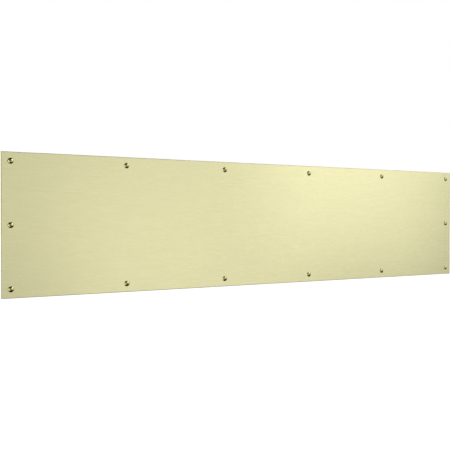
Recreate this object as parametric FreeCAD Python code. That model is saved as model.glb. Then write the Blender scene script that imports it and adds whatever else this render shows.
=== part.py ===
import FreeCAD, Part
import math
import os

# A brass kick plate for a door, with the oval-head wood screws that hold it.
# Millimetres. The origin is the centre of the back face, which lies on the door.
# +X runs along the plate, +Z up it, and +Y into the door.

INCH = 25.4

# Plate
LENGTH = 34 * INCH
HEIGHT = 8 * INCH
THICKNESS = 0.05 * INCH
BEVEL_WIDTH = 0.6        # how far the bevel reaches in over the front face
BEVEL_DEPTH = 0.35       # how far it reaches back along the edge

# Screw pattern: columns along the top and bottom edges, and one screw halfway up each end
EDGE_MARGIN = 0.5 * INCH
COLUMNS = 6

# Oval-head wood screw, size 8 by 3/4 inch
HEAD_RADIUS = 4.0
DOME_HEIGHT = 1.6
RIM_HEIGHT = 0.15        # the narrow straight band between the dome and the cone
RIM_SUNK = 0.10          # how far the foot of that band lies below the plate's front face
CONE_ANGLE = 82          # degrees across the cone under the head, and across its countersink
SHANK_RADIUS = 0.164 * INCH / 2
SCREW_LENGTH = 0.75 * INCH
THREAD_LENGTH = 0.5 * INCH
THREADS_PER_INCH = 15
THREAD_CREST = 0.12      # width of the flat along the thread's crest
THREAD_BASE = 0.75       # width of the thread where it leaves the core
THREAD_HEART = 0.5       # radius that the thread's foot reaches inside the core
CORE_RADIUS = 1.45
POINT_LENGTH = 4.5
POINT_RADIUS = 0.15      # the blunted end of the point
RUN_OUT = 0.9            # length over which the thread fades into the shank

# Cross recess in the head
RECESS_RADIUS = 2.3
RECESS_DEPTH = 2.2       # below the dome's top
WING_WIDTH = 0.85
WING_TAPER = 0.55        # how much of its mouth the recess keeps at its floor
TURN_STEP = 53           # degrees that each screw is turned from the one before

FRONT = -THICKNESS
CONE_SLOPE = math.tan(math.radians(CONE_ANGLE / 2))
RIM_FOOT = FRONT + RIM_SUNK
RIM_TOP = RIM_FOOT - RIM_HEIGHT
DOME_TOP = RIM_TOP - DOME_HEIGHT
CONE_END = RIM_FOOT + (HEAD_RADIUS - SHANK_RADIUS) / CONE_SLOPE
TIP = RIM_FOOT + SCREW_LENGTH
THREAD_START = TIP - THREAD_LENGTH
POINT_START = TIP - POINT_LENGTH

ORIGIN = FreeCAD.Vector(0, 0, 0)
SCREW_AXIS = FreeCAD.Vector(0, 1, 0)


def rectangle(half_x, half_z, y):
    """A closed wire round a rectangle centred on the Y axis, at depth y."""
    corners = [(-half_x, -half_z), (half_x, -half_z), (half_x, half_z), (-half_x, half_z)]
    return Part.makePolygon([FreeCAD.Vector(x, y, z) for x, z in corners + corners[:1]])


def turned(profile):
    """A solid turned about the Y axis from (radius, y) points that start and end on the axis."""
    points = [FreeCAD.Vector(radius, y, 0) for radius, y in profile]
    return Part.Face(Part.makePolygon(points + points[:1])).revolve(ORIGIN, SCREW_AXIS, 360)


def countersink():
    """The cone that a screw head seats in. It runs past both faces of the plate."""
    front, back = 2 * FRONT, -FRONT
    front_radius = HEAD_RADIUS + (RIM_FOOT - front) * CONE_SLOPE
    back_radius = HEAD_RADIUS + (RIM_FOOT - back) * CONE_SLOPE
    return turned([(0, front), (front_radius, front), (back_radius, back), (0, back)])


def plate(centres):
    """The sheet: a square-edged back, a bevelled front and a countersunk hole at each centre."""
    bevel_foot = FRONT + BEVEL_DEPTH
    outline = rectangle(LENGTH / 2, HEIGHT / 2, bevel_foot)
    front_outline = rectangle(LENGTH / 2 - BEVEL_WIDTH, HEIGHT / 2 - BEVEL_WIDTH, FRONT)
    back = Part.Face(outline).extrude(FreeCAD.Vector(0, -bevel_foot, 0))
    front = Part.makeLoft([outline, front_outline], True, True)
    sheet = back.fuse(front).removeSplitter()
    holes = []
    for x, z in centres:
        hole = countersink()
        hole.translate(FreeCAD.Vector(x, 0, z))
        holes.append(hole)
    return sheet.cut(holes).Solids[0]


def head_and_core():
    """The turned part of a screw: domed head, cone, plain shank, and the core inside the thread."""
    sphere_radius = (HEAD_RADIUS ** 2 + DOME_HEIGHT ** 2) / (2 * DOME_HEIGHT)
    halfway = math.asin(HEAD_RADIUS / sphere_radius) / 2
    dome = Part.Arc(
        FreeCAD.Vector(0, DOME_TOP, 0),
        FreeCAD.Vector(sphere_radius * math.sin(halfway),
                       DOME_TOP + sphere_radius * (1 - math.cos(halfway)), 0),
        FreeCAD.Vector(HEAD_RADIUS, RIM_TOP, 0))
    below = [(HEAD_RADIUS, RIM_TOP), (HEAD_RADIUS, RIM_FOOT), (SHANK_RADIUS, CONE_END),
             (SHANK_RADIUS, THREAD_START), (CORE_RADIUS, THREAD_START + RUN_OUT),
             (CORE_RADIUS, POINT_START), (POINT_RADIUS, TIP), (0, TIP), (0, DOME_TOP)]
    lines = Part.makePolygon([FreeCAD.Vector(radius, y, 0) for radius, y in below])
    outline = Part.Wire([dome.toShape()] + lines.Edges)
    return Part.Face(outline).revolve(ORIGIN, SCREW_AXIS, 360)


def thread():
    """The helical ridge, trimmed to the shank's radius and brought down to the screw's point."""
    helix = Part.makeHelix(INCH / THREADS_PER_INCH, THREAD_LENGTH, SHANK_RADIUS)
    section = [(SHANK_RADIUS, -THREAD_CREST / 2), (SHANK_RADIUS, THREAD_CREST / 2),
               (CORE_RADIUS, THREAD_BASE / 2), (THREAD_HEART, THREAD_BASE / 2),
               (THREAD_HEART, -THREAD_BASE / 2), (CORE_RADIUS, -THREAD_BASE / 2)]
    corners = [FreeCAD.Vector(radius, 0, along) for radius, along in section + section[:1]]
    ridge = Part.Wire(helix.Edges).makePipeShell([Part.makePolygon(corners)], True, True)
    ridge.rotate(ORIGIN, FreeCAD.Vector(1, 0, 0), -90)
    ridge.translate(FreeCAD.Vector(0, THREAD_START, 0))
    envelope = turned([(0, THREAD_START), (SHANK_RADIUS, THREAD_START),
                       (SHANK_RADIUS, POINT_START), (POINT_RADIUS, TIP), (0, TIP)])
    return ridge.common(envelope)


def recess():
    """The cross-shaped recess: two tapered bars that cross at the middle of the head."""
    bars = []
    for half_x, half_z in ((RECESS_RADIUS, WING_WIDTH / 2), (WING_WIDTH / 2, RECESS_RADIUS)):
        mouth = rectangle(half_x, half_z, DOME_TOP)
        floor = rectangle(half_x * WING_TAPER, half_z * WING_TAPER, DOME_TOP + RECESS_DEPTH)
        bars.append(Part.makeLoft([mouth, floor], True, True))
    return bars[0].fuse(bars[1])


def screw():
    """One screw on the Y axis, at the depth where it sits in its countersink."""
    return head_and_core().fuse(thread()).cut(recess()).removeSplitter().Solids[0]


def screw_places():
    """Each screw's node name and its place (x, z) on the plate."""
    end, row = LENGTH / 2 - EDGE_MARGIN, HEIGHT / 2 - EDGE_MARGIN
    step = 2 * end / (COLUMNS - 1)
    places = {}
    for name, z in (("top", row), ("bottom", -row)):
        for column in range(COLUMNS):
            places[f"screw_{name}_{column + 1}"] = (column * step - end, z)
    places["screw_left_middle"] = (-end, 0)
    places["screw_right_middle"] = (end, 0)
    return places


def main():
    os.makedirs("parts", exist_ok=True)
    places = screw_places()
    plate(places.values()).exportStep("parts/kick_plate.step")
    pattern_screw = screw()
    for index, (name, (x, z)) in enumerate(places.items()):
        placed = pattern_screw.copy()
        placed.rotate(ORIGIN, SCREW_AXIS, index * TURN_STEP)
        placed.translate(FreeCAD.Vector(x, 0, z))
        placed.exportStep(f"parts/{name}.step")


main()
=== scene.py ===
import math

import bmesh
import bpy
from mathutils import Matrix, Vector


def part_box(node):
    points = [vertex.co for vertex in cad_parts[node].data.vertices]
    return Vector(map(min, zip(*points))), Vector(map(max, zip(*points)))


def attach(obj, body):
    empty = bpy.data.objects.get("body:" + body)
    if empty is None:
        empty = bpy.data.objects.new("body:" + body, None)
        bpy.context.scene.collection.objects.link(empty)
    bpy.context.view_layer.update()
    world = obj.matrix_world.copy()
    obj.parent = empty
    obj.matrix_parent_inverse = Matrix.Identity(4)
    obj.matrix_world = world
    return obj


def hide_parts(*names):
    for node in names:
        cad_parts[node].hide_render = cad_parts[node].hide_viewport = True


# A brushed brass kick plate with polished oval-head screws. Metres, in the CAD model's frame:
# the plate's back face lies in the plane y = 0, its front faces -Y, and its height is along Z.

MM = 0.001
INCH = 25.4 * MM

# Plate
BEVEL_WIDTH = 0.6 * MM
BEVEL_DEPTH = 0.35 * MM
EDGE_SOFTENING = 0.12 * MM     # how far from an edge its rounding starts
LIP_SOFTENING = 0.08 * MM      # the same at the mouth of a countersunk hole
HOLE_CLEARANCE = 0.02 * MM
HOLE_SIDES = 96                # a multiple of 4: a quarter of them to each corner of a cell

# Screws: size 8 by 3/4 inch
HEAD_RADIUS = 4.0 * MM
DOME_HEIGHT = 1.6 * MM
RIM_HEIGHT = 0.15 * MM
RIM_SUNK = 0.10 * MM
CONE_ANGLE = 82                # degrees across the cone under the head
CONE_SLOPE = math.tan(math.radians(CONE_ANGLE / 2))
SHANK_RADIUS = 0.164 * INCH / 2
SCREW_LENGTH = 0.75 * INCH
THREAD_LENGTH = 0.5 * INCH
THREADS_PER_INCH = 15
THREAD_PITCH = INCH / THREADS_PER_INCH
THREAD_CREST = 0.12 * MM
THREAD_BASE = 0.75 * MM
CORE_RADIUS = 1.45 * MM
POINT_LENGTH = 4.5 * MM
POINT_RADIUS = 0.15 * MM
RUN_OUT = 0.9 * MM
RECESS_RADIUS = 2.3 * MM
RECESS_DEPTH = 2.2 * MM
RECESS_PIT = 0.33 * MM         # how much deeper the recess's pointed floor goes in the middle
WING_WIDTH = 0.85 * MM
WING_TAPER = 0.55
TURN_STEP = math.radians(53)
SCREW_COLUMNS = 64             # divisions round a screw: a multiple of 8
DOME_RINGS = 8
SCREW_SOFTENING = 0.06 * MM
SETTLING_ROUNDS = 6            # tries at finding where the recess wall meets the dome

# Meshes
ROUNDING_STEPS = 4             # divisions of each rounded corner
SAME_PLACE = 0.0005 * MM       # vertices nearer than this are joined
PLATE_SHARP_ANGLE = 30         # degrees: steeper corners are left sharp
SCREW_SHARP_ANGLE = 35

# Camera: where it stands from the middle of the plate's front face, and how it is turned
CAMERA_OFFSET = Vector((-0.5639, -0.9014, 0.0082))
CAMERA_TURN = math.radians(28.05)
CAMERA_TILT = math.radians(0.53)
CAMERA_LENS = 50.0
CAMERA_SENSOR = 36.0

# Stage and lights
FLOOR_DROP = 0.6               # how far the floor lies below the plate
FLOOR_SIZE = 60.0
FLOOR_COLOUR = (0.9, 0.9, 0.9, 1)
FLOOR_ROUGHNESS = 0.8
FLOOR_GLOW = 1.0
WHITE = (1, 1, 1, 1)
DIM = (0.03, 0.025, 0.006)
PALE = (0.59, 0.59, 0.59)
# What the object sees round it: degrees above the horizon and a linear colour
ROOM = [(-90, DIM), (-20, DIM), (-5, PALE), (18, PALE), (40, DIM)]
LIT_SIDE = 50                  # the way the room is brightest, in degrees from -Y towards +X
LIT_SIDE_START = math.cos(math.radians(50))    # full brightness within 50 degrees of it
LIT_SIDE_END = math.cos(math.radians(80))      # and dimmest from 80 degrees on
DARK_SIDE_SHARE = 0.4          # how much of that brightness the dim side keeps
# Each softbox: name, degrees from -Y towards +X, degrees of rise, width, height, watts
SOFTBOXES = [
    ("key", 48, 20, 1.6, 1.0, 2.6),
    ("high_key", 57, 37, 2.4, 1.5, 17.0),
    ("side", 43, 2, 1.0, 1.0, 2.2),
    ("low_panel", 22, -14, 1.5, 0.9, 1.3),
    ("strip", 15, -5, 1.0, 1.8, 0.9),
    ("wide_fill", 12, -2, 2.6, 2.0, 6.2),
    ("left_strip", -54, 0, 0.9, 2.2, 7.0),
    ("low_left", -44, -26, 3.0, 2.0, 10.0),
    ("back_fill", 135, -8, 2.6, 1.8, 16.0),
]
SOFTBOX_DISTANCE = 3.0

# Metals, as linear colours
BRASS = (0.80, 0.77, 0.45)
DULL_BRASS = (0.55, 0.50, 0.28)
SCREW_BRASS = (0.81, 0.74, 0.36)

# Finishes: the roughness where a finish's pattern is low and where it is high, and its relief
BRUSHED_ROUGHNESS = (0.27, 0.34)
BRUSHED_RELIEF = 0.005 * MM
BRUSHED_STRETCH = 0.6          # how far the brushing draws highlights out across it
LACQUER = 0.12
LACQUER_ROUGHNESS = 0.2
CUT_ROUGHNESS = (0.56, 0.7)
CUT_RELIEF = 0.01 * MM
MILL_ROUGHNESS = (0.5, 0.36)
MILL_RELIEF = 0.01 * MM
HEAD_ROUGHNESS = (0.08, 0.17)
HEAD_RELIEF = 0.006 * MM
PAINTED_RIM_SHADE = 0.12               # painted shade: how far a head's colour is taken down towards its outer edge, where it meets the countersink
RECESS_ROUGHNESS = (0.5, 0.28)
RECESS_RELIEF = 0.02 * MM
SHANK_ROUGHNESS = (0.22, 0.38)
SHANK_RELIEF = 0.012 * MM
EVEN = 1                       # metres: a patch so long that a pattern doesn't change that way
MOST = (0.3, 0.7)              # the range that most of a pattern's values lie in
NEARLY_ALL = (0.25, 0.75)
MIDDLE = (0.35, 0.65)

SCREW_NAMES = [f"screw_{row}_{column}" for row in ("top", "bottom") for column in range(1, 7)]
SCREW_NAMES += ["screw_left_middle", "screw_right_middle"]

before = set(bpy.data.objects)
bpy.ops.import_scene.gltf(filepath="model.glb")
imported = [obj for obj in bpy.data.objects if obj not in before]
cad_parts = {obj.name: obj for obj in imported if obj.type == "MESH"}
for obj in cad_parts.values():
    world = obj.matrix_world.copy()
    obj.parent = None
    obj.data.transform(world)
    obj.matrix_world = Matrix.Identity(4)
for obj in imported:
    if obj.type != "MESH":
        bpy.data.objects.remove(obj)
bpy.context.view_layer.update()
plate_low, plate_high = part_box("kick_plate")
plate_centre = (plate_low + plate_high) / 2
FRONT = plate_low.y
BACK = plate_high.y
RIM_FOOT = FRONT + RIM_SUNK
RIM_TOP = RIM_FOOT - RIM_HEIGHT
DOME_TOP = RIM_TOP - DOME_HEIGHT
CONE_END = RIM_FOOT + (HEAD_RADIUS - SHANK_RADIUS) / CONE_SLOPE
TIP = RIM_FOOT + SCREW_LENGTH
THREAD_START = TIP - THREAD_LENGTH
POINT_START = TIP - POINT_LENGTH
DOME_SPHERE = (HEAD_RADIUS ** 2 + DOME_HEIGHT ** 2) / (2 * DOME_HEIGHT)


# ---------------------------------------------------------------- mesh helpers

def softened(points, trim):
    """The same run of points with each inner corner cut back by trim and rounded."""
    made = [points[0]]
    for before, corner, after in zip(points, points[1:], points[2:]):
        start = corner + (before - corner).normalized() * trim
        end = corner + (after - corner).normalized() * trim
        for step in range(ROUNDING_STEPS + 1):
            t = step / ROUNDING_STEPS
            made.append(start * (1 - t) ** 2 + corner * 2 * t * (1 - t) + end * t ** 2)
    return made + [points[-1]]


def band(mesh, first, second, closed=True, material=0):
    """Joins two rows of vertices with a strip of four-sided faces."""
    count = len(first)
    for i in range(count if closed else count - 1):
        j = (i + 1) % count
        face = mesh.faces.new((first[i], first[j], second[j], second[i]))
        face.smooth = True
        face.material_index = material


def rows_of(mesh, rows):
    """One new vertex for each point of each row."""
    return [[mesh.verts.new(point) for point in row] for row in rows]


def finished_object(name, mesh, sharp_angle):
    """An object from a bmesh, with its corners left sharp above an angle."""
    bmesh.ops.remove_doubles(mesh, verts=mesh.verts, dist=SAME_PLACE)
    bmesh.ops.recalc_face_normals(mesh, faces=mesh.faces)
    data = bpy.data.meshes.new(name)
    mesh.to_mesh(data)
    mesh.free()
    data.set_sharp_from_angle(angle=math.radians(sharp_angle))
    piece = bpy.data.objects.new(name, data)
    bpy.context.scene.collection.objects.link(piece)
    return piece


# ---------------------------------------------------------------- plate

def cell_lines(places, half, inset):
    """Lines along one axis that divide a side of the sheet into a square cell round each hole."""
    reach = half - BEVEL_WIDTH - 2 * EDGE_SOFTENING - max(places)
    lines = sorted(place + side * reach for place in set(places) for side in (-1, 1))
    return [inset - half] + lines[1:-1] + [half - inset]


def rectangle_row(centres, inset, y):
    """Points round the plate, set in from its edge, with one at each cell line."""
    xs, zs = cell_grid(centres, inset)
    row = [Vector((x, y, zs[0])) for x in xs] + [Vector((xs[-1], y, z)) for z in zs[1:]]
    row += [Vector((x, y, zs[-1])) for x in reversed(xs[:-1])]
    return row + [Vector((xs[0], y, z)) for z in reversed(zs[1:-1])]


def cell_grid(centres, inset):
    """The lines across and up the sheet between which its cells lie."""
    xs = cell_lines([centre.x for centre in centres], plate_high.x, inset)
    zs = cell_lines([centre.z for centre in centres], plate_high.z, inset)
    return xs, zs


def circle_row(centre, radius, y, sides):
    """Points round a circle about a screw's axis, at depth y."""
    turns = [2 * math.pi * i / sides for i in range(sides)]
    return [Vector((centre.x + radius * math.cos(turn), y, centre.z - radius * math.sin(turn)))
            for turn in turns]


def edge_profile():
    """(inset, y) from the front face, over the bevel and the cut edge, to the back face."""
    start_inset = BEVEL_WIDTH + 2 * EDGE_SOFTENING
    corners = [(start_inset, FRONT), (BEVEL_WIDTH, FRONT), (0, FRONT + BEVEL_DEPTH), (0, BACK),
               (2 * EDGE_SOFTENING, BACK)]
    return softened([Vector(corner) for corner in corners], EDGE_SOFTENING)


def hole_profile():
    """(radius, y) from the front face, down the countersink, to the back face."""
    foot = HEAD_RADIUS + HOLE_CLEARANCE
    front_radius = foot + (RIM_FOOT - FRONT) * CONE_SLOPE
    back_radius = foot + (RIM_FOOT - BACK) * CONE_SLOPE
    around = 2 * LIP_SOFTENING
    corners = [(front_radius + around, FRONT), (front_radius, FRONT), (back_radius, BACK),
               (back_radius + around, BACK)]
    return softened([Vector(corner) for corner in corners], LIP_SOFTENING)


def flat_face(mesh, corners, material):
    face = mesh.faces.new(corners)
    face.material_index = material


def fill_around_hole(mesh, corners, hole, material):
    """Fills between a square cell's corners and its hole, a quarter of the hole to each corner."""
    quarter = len(hole) // 4
    for side, corner in enumerate(corners):
        for i in range(side * quarter, (side + 1) * quarter):
            flat_face(mesh, (corner, hole[i], hole[(i + 1) % len(hole)]), material)
        following = (side + 1) % 4
        flat_face(mesh, (corner, hole[following * quarter], corners[following]), material)


def fill_side(mesh, inset, y, holes, material):
    """One flat side of the sheet, made of a cell round each hole and plain cells between them."""
    xs, zs = cell_grid([centre for centre, hole in holes], inset)
    grid = rows_of(mesh, [[Vector((x, y, z)) for z in zs] for x in xs])
    for i in range(len(xs) - 1):
        for j in range(len(zs) - 1):
            corners = (grid[i + 1][j], grid[i][j], grid[i][j + 1], grid[i + 1][j + 1])
            inside = [hole for centre, hole in holes
                      if xs[i] < centre.x < xs[i + 1] and zs[j] < centre.z < zs[j + 1]]
            if inside:
                fill_around_hole(mesh, corners, inside[0], material)
            else:
                flat_face(mesh, corners, material)


def add_grain_map(piece):
    """A UV map whose U runs across the brushing, so that highlights stretch across it."""
    layer = piece.data.uv_layers.new(name="grain")
    vertices = piece.data.vertices
    for loop in piece.data.loops:
        place = vertices[loop.vertex_index].co
        layer.data[loop.index].uv = (place.z - place.y, place.x)


def make_plate(centres):
    """The sheet as one closed mesh: material 0 in front, 1 on the bevel and edge, 2 behind."""
    mesh = bmesh.new()
    edge, lip = edge_profile(), hole_profile()
    outer = rows_of(mesh, [rectangle_row(centres, point.x, point.y) for point in edge])
    for first, second in zip(outer, outer[1:]):
        band(mesh, first, second, material=1)
    front_holes, back_holes = [], []
    for centre in centres:
        hole = rows_of(mesh, [circle_row(centre, point.x, point.y, HOLE_SIDES) for point in lip])
        for first, second in zip(hole, hole[1:]):
            band(mesh, first, second, material=1)
        front_holes.append((centre, hole[0]))
        back_holes.append((centre, hole[-1]))
    fill_side(mesh, edge[0].x, FRONT, front_holes, 0)
    fill_side(mesh, edge[-1].x, BACK, back_holes, 2)
    plate = finished_object("brushed_sheet", mesh, PLATE_SHARP_ANGLE)
    add_grain_map(plate)
    return plate


# ---------------------------------------------------------------- screws

def dome_y(radius):
    """How deep the dome's surface lies at a distance from the screw's axis."""
    return DOME_TOP + DOME_SPHERE - math.sqrt(DOME_SPHERE ** 2 - radius ** 2)


def cross_outline():
    """Points round the recess at its widest, one for each column, starting on a wing's middle."""
    wing, arm = WING_WIDTH / 2, RECESS_RADIUS
    per_octant = SCREW_COLUMNS // 8
    end_steps = per_octant // 4
    octant = [Vector((arm, 0, wing * i / end_steps)) for i in range(end_steps)]
    side_steps = per_octant - end_steps
    octant += [Vector((arm + (wing - arm) * i / side_steps, 0, wing)) for i in range(side_steps + 1)]
    quadrant = octant + [Vector((p.z, 0, p.x)) for p in reversed(octant[1:-1])]
    outline = []
    for quarter in range(4):
        turn = Matrix.Rotation(-quarter * math.pi / 2, 3, "Y")
        outline += [turn @ point for point in quadrant]
    return [Vector((p.x, 0, -p.z)) for p in outline]


def recess_point(outline_point, y):
    """The recess wall below an outline point, at depth y."""
    keep = 1 - (1 - WING_TAPER) * (y - DOME_TOP) / RECESS_DEPTH
    return Vector((outline_point.x * keep, y, outline_point.z * keep))


def mouth_point(outline_point):
    """Where the recess wall below an outline point meets the dome."""
    y = DOME_TOP
    for _ in range(SETTLING_ROUNDS):
        wall = recess_point(outline_point, y)
        y = dome_y(Vector((wall.x, wall.z)).length)
    return recess_point(outline_point, y)


def head_column(outline_point, turn):
    """Points from the recess's floor, over the dome, to the thread's start, in one direction."""
    across = Vector((math.cos(turn), 0, -math.sin(turn)))
    mouth = mouth_point(outline_point)
    floor = recess_point(outline_point, DOME_TOP + RECESS_DEPTH)
    pit = Vector((0, DOME_TOP + RECESS_DEPTH + RECESS_PIT, 0))
    dome_edge = across * (HEAD_RADIUS - 3 * SCREW_SOFTENING)
    over_dome = []
    for ring in range(DOME_RINGS + 1):
        flat = (mouth * (1 - ring / DOME_RINGS) + dome_edge * (ring / DOME_RINGS))
        flat.y = 0
        over_dome.append(Vector((flat.x, dome_y(flat.length), flat.z)))
    first_step = (over_dome[1] - mouth).normalized() * 2 * SCREW_SOFTENING
    inner = softened([pit, floor, mouth, mouth + first_step], SCREW_SOFTENING / 2)
    outer = [over_dome[-1], across * HEAD_RADIUS + Vector((0, RIM_TOP, 0)),
             across * HEAD_RADIUS + Vector((0, RIM_FOOT, 0)),
             across * SHANK_RADIUS + Vector((0, CONE_END, 0)),
             across * SHANK_RADIUS + Vector((0, THREAD_START, 0))]
    return inner + over_dome[1:-1] + softened(outer, SCREW_SOFTENING)


def between(y, start, end, first, last):
    """A value that runs evenly from first at start to last at end, and holds outside them."""
    share = min(max((y - start) / (end - start), 0), 1)
    return first + (last - first) * share


def thread_point(turn, y, on_crest):
    """A point on the threaded part, at an angle and a depth."""
    y = min(max(y, THREAD_START), TIP)
    crest = between(y, POINT_START, TIP, SHANK_RADIUS, POINT_RADIUS)
    if y < POINT_START:
        core = between(y, THREAD_START, THREAD_START + RUN_OUT, SHANK_RADIUS, CORE_RADIUS)
    else:
        core = between(y, POINT_START, TIP, CORE_RADIUS, POINT_RADIUS)
    radius = crest if on_crest else core
    return Vector((radius * math.cos(turn), y, -radius * math.sin(turn)))


def thread_column(turn):
    """Points down the thread in one direction: four for each turn of the ridge."""
    ridge = [(-THREAD_BASE / 2, False), (-THREAD_CREST / 2, True), (THREAD_CREST / 2, True),
             (THREAD_BASE / 2, False)]
    turns = math.ceil(THREAD_LENGTH / THREAD_PITCH) + 1
    column = []
    for lap in range(-1, turns):
        middle = THREAD_START + THREAD_PITCH * (lap + turn / (2 * math.pi))
        column += [thread_point(turn, middle + along, on_crest) for along, on_crest in ridge]
    return column


def screw_region(place):
    """Which material a place on a screw takes: 0 on the head, 1 in the recess, 2 on the shank."""
    radius = Vector((place.x, place.z)).length
    if place.y > CONE_END:
        return 2
    in_recess = radius < RECESS_RADIUS and place.y > dome_y(radius) + SCREW_SOFTENING / 2
    return 1 if in_recess else 0


def make_screw_mesh():
    """One screw on the Y axis as a closed mesh."""
    mesh = bmesh.new()
    turns = [2 * math.pi * i / SCREW_COLUMNS for i in range(SCREW_COLUMNS + 1)]
    outline = cross_outline()
    head = rows_of(mesh, [head_column(outline[i % SCREW_COLUMNS], turns[i])
                          for i in range(SCREW_COLUMNS + 1)])
    thread = rows_of(mesh, [thread_column(turn) for turn in turns])
    for columns in (head, thread):
        for first, second in zip(columns, columns[1:]):
            band(mesh, first, second, closed=False)
    tip = mesh.verts.new((0, TIP, 0))
    ends = [mesh.verts.new(thread_point(turn, TIP, False)) for turn in turns]
    for first, second in zip(ends, ends[1:]):
        mesh.faces.new((first, second, tip))
    for face in mesh.faces:
        face.material_index = screw_region(face.calc_center_median())
    return finished_object("screw_pattern", mesh, SCREW_SHARP_ANGLE)


# ---------------------------------------------------------------- materials

def node(tree, kind, settings=None, inputs=None):
    """A shader node. Each input is a plain value, or the first output that feeds it."""
    made = tree.nodes.new("ShaderNode" + kind)
    for name, value in (settings or {}).items():
        setattr(made, name, value)
    for name, value in (inputs or {}).items():
        if isinstance(value, bpy.types.NodeSocket):
            tree.links.new(value, made.inputs[name])
        else:
            made.inputs[name].default_value = value
    return made


def math_node(tree, operation, *values):
    """The result of a sum on values or outputs."""
    return node(tree, "Math", {"operation": operation}, dict(enumerate(values))).outputs[0]


def remapped(tree, value, low, high, start=0.0, end=1.0):
    """The value, moved from the range start to end into the range low to high."""
    inputs = {"Value": value, "From Min": start, "From Max": end, "To Min": low, "To Max": high}
    return node(tree, "MapRange", None, inputs).outputs["Result"]


def cloud(tree, place, size, detail=3.0, roughness=0.5):
    """Soft noise between 0 and 1 whose patches measure about size (x, y, z) in metres."""
    scale = [1 / length for length in size]
    moved = node(tree, "Mapping", None, {"Vector": place, "Scale": scale}).outputs["Vector"]
    inputs = {"Vector": moved, "Scale": 1.0, "Detail": detail, "Roughness": roughness}
    return node(tree, "TexNoise", None, inputs).outputs["Fac"]


def tones(tree, value, stops):
    """A colour from a value between 0 and 1, through (position, linear colour) stops."""
    ramp = node(tree, "ValToRGB", None, {"Fac": value})
    elements = ramp.color_ramp.elements
    while len(elements) < len(stops):
        elements.new(1.0)
    for element, (position, colour) in zip(elements, stops):
        element.position = position
        element.color = (*colour, 1.0)
    return ramp.outputs["Color"]


def blended(tree, *weighted):
    """The sum of (value, weight) pairs."""
    total = None
    for value, weight in weighted:
        share = math_node(tree, "MULTIPLY", value, weight)
        total = share if total is None else math_node(tree, "ADD", total, share)
    return total


def shade(colour, factor):
    """The colour, made darker or brighter."""
    return tuple(channel * factor for channel in colour)


def metal(name):
    """A new material, its node tree, its metal shader and the piece's own coordinates in metres."""
    material = bpy.data.materials.new(name)
    material.use_nodes = True
    tree = material.node_tree
    shader = tree.nodes["Principled BSDF"]
    shader.inputs["Metallic"].default_value = 1.0
    place = node(tree, "TexCoord").outputs["Object"]
    return material, tree, shader, place


def finish_metal(tree, shader, colour, roughness, height, relief):
    """Joins a colour, a roughness and a height pattern of the given relief to a metal shader."""
    bump = node(tree, "Bump", None, {"Height": height, "Strength": 1.0, "Distance": relief})
    tree.links.new(colour, shader.inputs["Base Color"])
    tree.links.new(roughness, shader.inputs["Roughness"])
    tree.links.new(bump.outputs["Normal"], shader.inputs["Normal"])


def make_brushed_brass():
    """The front: long fine lines along the plate, under a thin clear lacquer."""
    material, tree, shader, place = metal("brushed_brass")
    scratches = cloud(tree, place, (40 * MM, EVEN, 0.17 * MM), 1.0)
    hairlines = remapped(tree, scratches, 0, 1, *MIDDLE)
    grain = cloud(tree, place, (26 * MM, EVEN, 2.8 * MM), 2.0)
    bands = cloud(tree, place, (90 * MM, EVEN, 9 * MM), 2.0)
    haze = cloud(tree, place, (22 * MM, EVEN, 40 * MM))
    pattern = blended(tree, (hairlines, 0.34), (grain, 0.22), (bands, 0.16), (haze, 0.28))
    stops = [(0.3, shade(BRASS, 0.94)), (0.5, BRASS), (0.7, shade(BRASS, 1.05))]
    colour = tones(tree, pattern, stops)
    wear = blended(tree, (hairlines, 0.6), (haze, 0.4))
    roughness = remapped(tree, wear, *BRUSHED_ROUGHNESS, *NEARLY_ALL)
    height = blended(tree, (hairlines, 0.88), (grain, 0.12))
    finish_metal(tree, shader, colour, roughness, height, BRUSHED_RELIEF)
    shader.inputs["Anisotropic"].default_value = BRUSHED_STRETCH
    shader.inputs["Coat Weight"].default_value = LACQUER
    shader.inputs["Coat Roughness"].default_value = LACQUER_ROUGHNESS
    tangent = node(tree, "Tangent", {"direction_type": "UV_MAP", "uv_map": "grain"})
    tree.links.new(tangent.outputs["Tangent"], shader.inputs["Tangent"])
    return material


def make_cut_edge():
    """The bevel, the cut edge and the countersinks: rubbed dull, with small nicks and drag marks."""
    material, tree, shader, place = metal("edge_brass")
    drag = cloud(tree, place, (12 * MM, 0.3 * MM, 6 * MM))
    nicks = cloud(tree, place, (1.6 * MM, 1.6 * MM, 1.6 * MM), 4.0, 0.65)
    rubbed = blended(tree, (drag, 0.6), (nicks, 0.4))
    stops = [(0.3, shade(BRASS, 0.94)), (0.5, shade(BRASS, 1.06)), (0.7, shade(BRASS, 1.15))]
    colour = tones(tree, rubbed, stops)
    roughness = remapped(tree, nicks, *CUT_ROUGHNESS, *MOST)
    finish_metal(tree, shader, colour, roughness, rubbed, CUT_RELIEF)
    return material


def make_mill_back():
    """The back: the rolled sheet as it came from the mill, dull and clouded."""
    material, tree, shader, place = metal("mill_brass")
    rolling = cloud(tree, place, (260 * MM, EVEN, 2.2 * MM), 3.0, 0.6)
    clouds = cloud(tree, place, (60 * MM, EVEN, 45 * MM), 5.0, 0.6)
    spots = cloud(tree, place, (5 * MM, EVEN, 5 * MM), 3.0, 0.7)
    pattern = blended(tree, (rolling, 0.35), (clouds, 0.45), (spots, 0.2))
    stops = [(0.3, DULL_BRASS), (0.5, shade(BRASS, 0.88)), (0.7, shade(BRASS, 0.95))]
    colour = tones(tree, pattern, stops)
    polish = blended(tree, (clouds, 0.6), (rolling, 0.4))
    roughness = remapped(tree, polish, *MILL_ROUGHNESS, *MOST)
    height = blended(tree, (rolling, 0.5), (spots, 0.5))
    finish_metal(tree, shader, colour, roughness, height, MILL_RELIEF)
    return material


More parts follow.
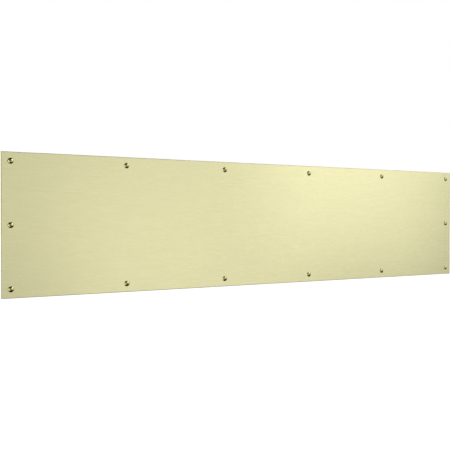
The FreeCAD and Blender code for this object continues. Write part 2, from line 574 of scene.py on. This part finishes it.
def make_screw_head():
    """The polished dome: faint rings from turning and finer scratches from handling, with painted shade
    darkening its colour towards the outer edge.
    """
    material, tree, shader, place = metal("polished_brass_head")
    parts = node(tree, "SeparateXYZ", None, {"Vector": place})
    across = node(tree, "CombineXYZ", None, {"X": parts.outputs["X"], "Z": parts.outputs["Z"]})
    length = node(tree, "VectorMath", {"operation": "LENGTH"}, {0: across.outputs[0]})
    radius = length.outputs["Value"]
    ring_place = node(tree, "CombineXYZ", None, {"X": radius}).outputs[0]
    rings = cloud(tree, ring_place, (0.12 * MM, EVEN, EVEN), 2.0, 0.6)
    marks = cloud(tree, place, (0.7 * MM, 0.7 * MM, 0.7 * MM), 4.0, 0.65)
    pattern = blended(tree, (rings, 0.45), (marks, 0.55))
    # painted shade: the head's colour is darkened over the outer fifth of its radius, towards the
    # countersink
    rim_painted_shade = remapped(tree, radius, 0.0, PAINTED_RIM_SHADE, HEAD_RADIUS * 0.8, HEAD_RADIUS)
    stops = [(0.25, shade(SCREW_BRASS, 0.8)), (0.5, SCREW_BRASS), (0.75, shade(SCREW_BRASS, 1.07))]
    colour = tones(tree, math_node(tree, "SUBTRACT", pattern, rim_painted_shade), stops)
    roughness = remapped(tree, marks, *HEAD_ROUGHNESS, *MOST)
    finish_metal(tree, shader, colour, roughness, pattern, HEAD_RELIEF)
    return material


def make_recess():
    """The cross recess: its colour is darkened as painted shade inside the recess, and it is rougher
    than the dome.
    """
    material, tree, shader, place = metal("recess_brass")
    scuffs = cloud(tree, place, (0.35 * MM, 0.9 * MM, 0.35 * MM), 4.0, 0.65)
    # painted shade: the recess walls' colour is set darker than the dome's, with random scuffs on top
    stops = [(0.3, shade(SCREW_BRASS, 0.6)), (0.5, shade(SCREW_BRASS, 0.82)),
             (0.7, shade(SCREW_BRASS, 0.98))]
    colour = tones(tree, scuffs, stops)
    roughness = remapped(tree, scuffs, *RECESS_ROUGHNESS, *MOST)
    finish_metal(tree, shader, colour, roughness, scuffs, RECESS_RELIEF)
    return material


def make_shank():
    """The shank and thread: bright rolled brass with drag marks round the axis."""
    material, tree, shader, place = metal("thread_brass")
    drag = cloud(tree, place, (1.8 * MM, 0.1 * MM, 1.8 * MM), 3.0, 0.6)
    stain = cloud(tree, place, (2.5 * MM, 2.5 * MM, 2.5 * MM), 4.0, 0.6)
    pattern = blended(tree, (drag, 0.5), (stain, 0.5))
    stops = [(0.3, shade(SCREW_BRASS, 0.7)), (0.5, shade(SCREW_BRASS, 0.93)), (0.7, SCREW_BRASS)]
    colour = tones(tree, pattern, stops)
    roughness = remapped(tree, stain, *SHANK_ROUGHNESS, *MOST)
    finish_metal(tree, shader, colour, roughness, pattern, SHANK_RELIEF)
    return material


# ---------------------------------------------------------------- stage, camera and lights

def direction(turn, rise):
    """A unit vector at degrees of turn from -Y towards +X, and of rise above the horizon."""
    turn, rise = math.radians(turn), math.radians(rise)
    level = math.cos(rise)
    return Vector((math.sin(turn) * level, -math.cos(turn) * level, math.sin(rise)))


def add_softbox(name, turn, rise, width, height, power):
    """A soft rectangular light that faces the plate's middle. The camera doesn't see it."""
    light = bpy.data.lights.new(name, "AREA")
    light.shape = "RECTANGLE"
    light.size, light.size_y = width, height
    light.energy = power
    lamp = bpy.data.objects.new(name, light)
    bpy.context.scene.collection.objects.link(lamp)
    way = direction(turn, rise)
    lamp.location = plate_centre + way * SOFTBOX_DISTANCE
    lamp.rotation_euler = way.to_track_quat("Z", "Y").to_euler()
    lamp.visible_camera = False


def add_studio_world():
    """Plain white to the camera. To the object it is bright near the horizon and dim elsewhere."""
    world = bpy.data.worlds.new("studio")
    bpy.context.scene.world = world
    world.use_nodes = True
    tree = world.node_tree
    tree.nodes.clear()
    way = node(tree, "TexCoord").outputs["Generated"]
    rise = node(tree, "SeparateXYZ", None, {"Vector": way}).outputs["Z"]
    stops = [(0.5 + 0.5 * math.sin(math.radians(degrees)), colour) for degrees, colour in ROOM]
    glow = tones(tree, remapped(tree, rise, 0, 1, -1, 1), stops)
    lit_way = tuple(direction(LIT_SIDE, 0))
    facing = node(tree, "VectorMath", {"operation": "DOT_PRODUCT"}, {0: way, 1: lit_way})
    strength = remapped(tree, facing.outputs["Value"], DARK_SIDE_SHARE, 1, LIT_SIDE_END, LIT_SIDE_START)
    room = node(tree, "Background", None, {"Color": glow, "Strength": strength})
    white = node(tree, "Background", None, {"Color": WHITE})
    seen = node(tree, "LightPath").outputs["Is Camera Ray"]
    mixed = node(tree, "MixShader", None, {0: seen, 1: room.outputs[0], 2: white.outputs[0]})
    output = tree.nodes.new("ShaderNodeOutputWorld")
    tree.links.new(mixed.outputs[0], output.inputs["Surface"])


def add_floor():
    """A plain white sweep below the plate. It is left out of the metal's reflections."""
    mesh = bmesh.new()
    bmesh.ops.create_grid(mesh, x_segments=1, y_segments=1, size=FLOOR_SIZE / 2)
    floor = finished_object("floor", mesh, PLATE_SHARP_ANGLE)
    floor.location.z = plate_low.z - FLOOR_DROP
    material = bpy.data.materials.new("pale_floor")
    material.use_nodes = True
    shader = material.node_tree.nodes["Principled BSDF"]
    shader.inputs["Base Color"].default_value = FLOOR_COLOUR
    shader.inputs["Roughness"].default_value = FLOOR_ROUGHNESS
    shader.inputs["Emission Color"].default_value = WHITE
    shader.inputs["Emission Strength"].default_value = FLOOR_GLOW
    floor.data.materials.append(material)
    floor.visible_glossy = False
    floor.visible_diffuse = False
    floor.visible_shadow = False


def add_camera():
    """The camera, to the plate's left and a little above its middle."""
    data = bpy.data.cameras.new("camera")
    data.lens = CAMERA_LENS
    data.sensor_width = CAMERA_SENSOR
    camera = bpy.data.objects.new("camera", data)
    bpy.context.scene.collection.objects.link(camera)
    front_middle = Vector((plate_centre.x, FRONT, plate_centre.z))
    camera.location = front_middle + CAMERA_OFFSET
    camera.rotation_euler = (math.pi / 2 - CAMERA_TILT, 0, -CAMERA_TURN)
    bpy.context.scene.camera = camera


# ---------------------------------------------------------------- build

def centre_of(node_name):
    """The middle of a CAD node, to the nearest hundredth of a millimetre."""
    low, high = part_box(node_name)
    return Vector(round((a + b) / 2, 5) for a, b in zip(low, high))


screw_centres = {name: centre_of(name) for name in SCREW_NAMES}

plate = make_plate(list(screw_centres.values()))
for material in (make_brushed_brass(), make_cut_edge(), make_mill_back()):
    plate.data.materials.append(material)
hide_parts("kick_plate")
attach(plate, "root")

pattern = make_screw_mesh()
for material in (make_screw_head(), make_recess(), make_shank()):
    pattern.data.materials.append(material)
for index, name in enumerate(SCREW_NAMES):
    screw = bpy.data.objects.new("turned_" + name, pattern.data)
    bpy.context.scene.collection.objects.link(screw)
    centre = screw_centres[name]
    screw.matrix_world = (Matrix.Translation((centre.x, 0, centre.z))
                          @ Matrix.Rotation(index * TURN_STEP, 4, "Y"))
    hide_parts(name)
    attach(screw, "root")
bpy.data.objects.remove(pattern)

bpy.context.scene.view_settings.view_transform = "Standard"
add_camera()
add_floor()
add_studio_world()
for softbox in SOFTBOXES:
    add_softbox(*softbox)
